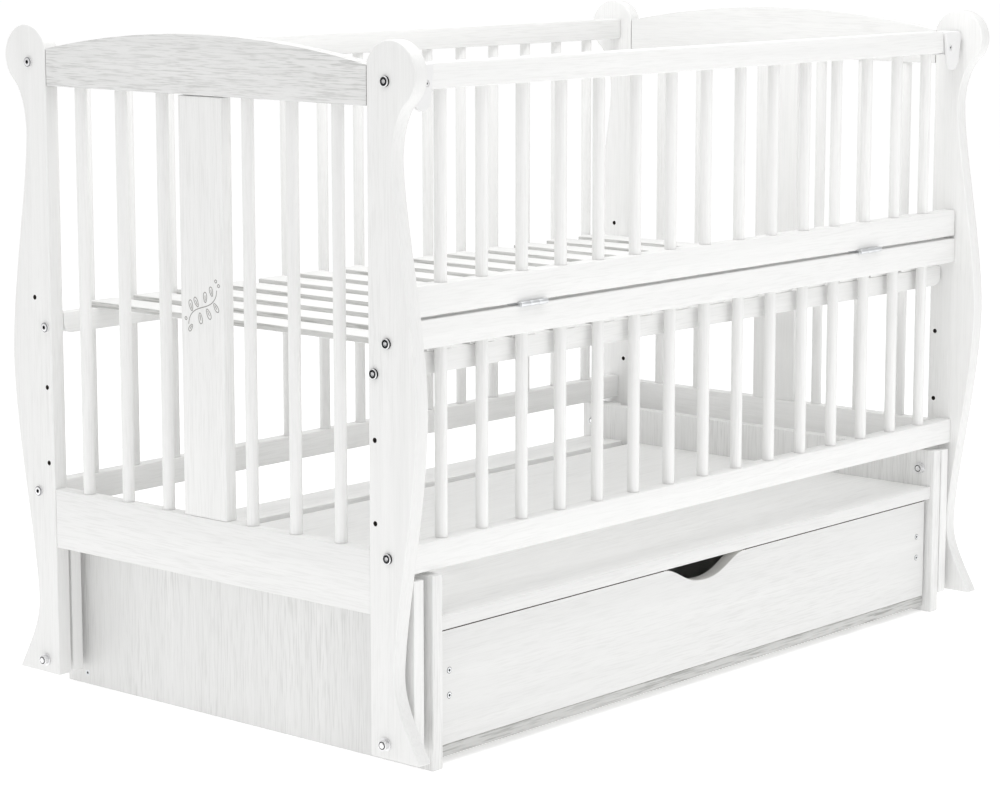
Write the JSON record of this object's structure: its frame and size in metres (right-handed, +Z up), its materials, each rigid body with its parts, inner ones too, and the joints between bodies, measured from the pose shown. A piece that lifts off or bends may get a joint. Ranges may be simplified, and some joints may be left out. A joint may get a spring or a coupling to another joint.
{
  "type": "crib",
  "caption": "Wooden crib on a pendulum base: slatted bed between spindle sides, a fold-down front gate with latches, swinging links, a shelf and a drawer.",
  "frame": {"origin": "on the floor, under the middle of the crib", "axes": "+X along the length to the right end seen from the front, -Y to the front with gate and drawer, +Z up"},
  "size_m": [1.265, 0.742, 0.8994],
  "materials": {
    "painted_wood": "satin white paint, grain showing",
    "zinced_steel": "bright zinc",
    "white_plastic": "moulded, slight gloss",
    "white_fibreboard": "white faced board"
  },
  "bodies": {
    "base": {"base_end_panel_left": "painted_wood", "base_end_panel_right": "painted_wood", "shelf": "painted_wood", "rear_rail": "painted_wood", "front_stretcher": "painted_wood", "rear_stretcher": "painted_wood", "upper_pivot_front_left": "zinced_steel", "upper_pivot_front_right": "zinced_steel", "upper_pivot_back_left": "zinced_steel", "upper_pivot_back_right": "zinced_steel"},
    "drawer": {"drawer_front": "painted_wood", "drawer_box": "painted_wood", "drawer_floor": "white_fibreboard"},
    "front_links": {"link_front_left": "painted_wood", "link_front_right": "painted_wood"},
    "back_links": {"link_back_left": "painted_wood", "link_back_right": "painted_wood"},
    "crib": {"leg_front_left": "painted_wood", "leg_front_right": "painted_wood", "leg_back_left": "painted_wood", "leg_back_right": "painted_wood", "end_top_rail_left": "painted_wood", "end_top_rail_right": "painted_wood", "end_bottom_rail_with_spindles_left": "painted_wood", "end_bottom_rail_with_spindles_right": "painted_wood", "centre_board_left": "painted_wood", "centre_board_right": "painted_wood", "back_top_rail": "painted_wood", "back_bottom_rail_with_spindles": "painted_wood", "front_panel_top_rail": "painted_wood", "front_panel_bottom_rail_with_spindles": "painted_wood", "slatted_base": "painted_wood", "latch_stud_left": "zinced_steel", "latch_stud_right": "zinced_steel", "top_bolt_back_left": "zinced_steel", "top_bolt_back_right": "zinced_steel", "panel_bolt_front_left": "zinced_steel", "panel_bolt_front_right": "zinced_steel", "slat_bolt_front_left": "zinced_steel", "slat_bolt_front_right": "zinced_steel", "slat_bolt_back_left": "zinced_steel", "slat_bolt_back_right": "zinced_steel", "bottom_bolt_front_left": "zinced_steel", "bottom_bolt_front_right": "zinced_steel", "bottom_bolt_back_left": "zinced_steel", "bottom_bolt_back_right": "zinced_steel", "lower_pivot_front_left": "zinced_steel", "lower_pivot_front_right": "zinced_steel", "lower_pivot_back_left": "zinced_steel", "lower_pivot_back_right": "zinced_steel", "hinge_fixed_leaf_left": "zinced_steel", "hinge_fixed_leaf_right": "zinced_steel"},
    "gate": {"gate_top_rail": "painted_wood", "gate_bottom_rail_with_spindles": "painted_wood", "latch_housing_left": "white_plastic", "latch_housing_right": "white_plastic", "hinge_gate_leaf_left": "zinced_steel", "hinge_gate_leaf_right": "zinced_steel"},
    "latch_left": {"latch_lever_left": "white_plastic"},
    "latch_right": {"latch_lever_right": "white_plastic"}
  },
  "joints": [
    {"name": "swing", "type": "hinge", "parent": "base", "child": "front_links", "pos_m": [0, -0.316, 0.219], "axis": [1, 0, 0], "range_deg": [-8, 8]},
    {"name": "crib_level", "type": "hinge", "parent": "front_links", "child": "crib", "pos_m": [0, -0.316, 0.0436], "axis": [1, 0, 0], "range_deg": [-8, 8]},
    {"name": "back_swing", "type": "hinge", "parent": "base", "child": "back_links", "pos_m": [0, 0.316, 0.219], "axis": [1, 0, 0], "range_deg": [-8, 8]},
    {"name": "gate_fold", "type": "hinge", "parent": "crib", "child": "gate", "pos_m": [0, -0.3363, 0.564], "axis": [1, 0, 0], "range_deg": [0, 180]},
    {"name": "latch_left_turn", "type": "hinge", "parent": "gate", "child": "latch_left", "pos_m": [-0.5685, -0.33, 0.846], "axis": [0, -1, 0], "range_deg": [-8, 6], "stiffness_Nm_per_rad": 0.05, "springref_deg": -8},
    {"name": "latch_right_turn", "type": "hinge", "parent": "gate", "child": "latch_right", "pos_m": [0.5685, -0.33, 0.846], "axis": [0, 1, 0], "range_deg": [-8, 6], "stiffness_Nm_per_rad": 0.05, "springref_deg": -8},
    {"name": "drawer_slide", "type": "slide", "parent": "base", "child": "drawer", "axis": [0, -1, 0], "range_m": [0, 0.4]}
  ],
  "couplings": [
    {"joint": "crib_level", "follows": "swing", "ratio": -1},
    {"joint": "back_swing", "follows": "swing", "ratio": 1}
  ]
}
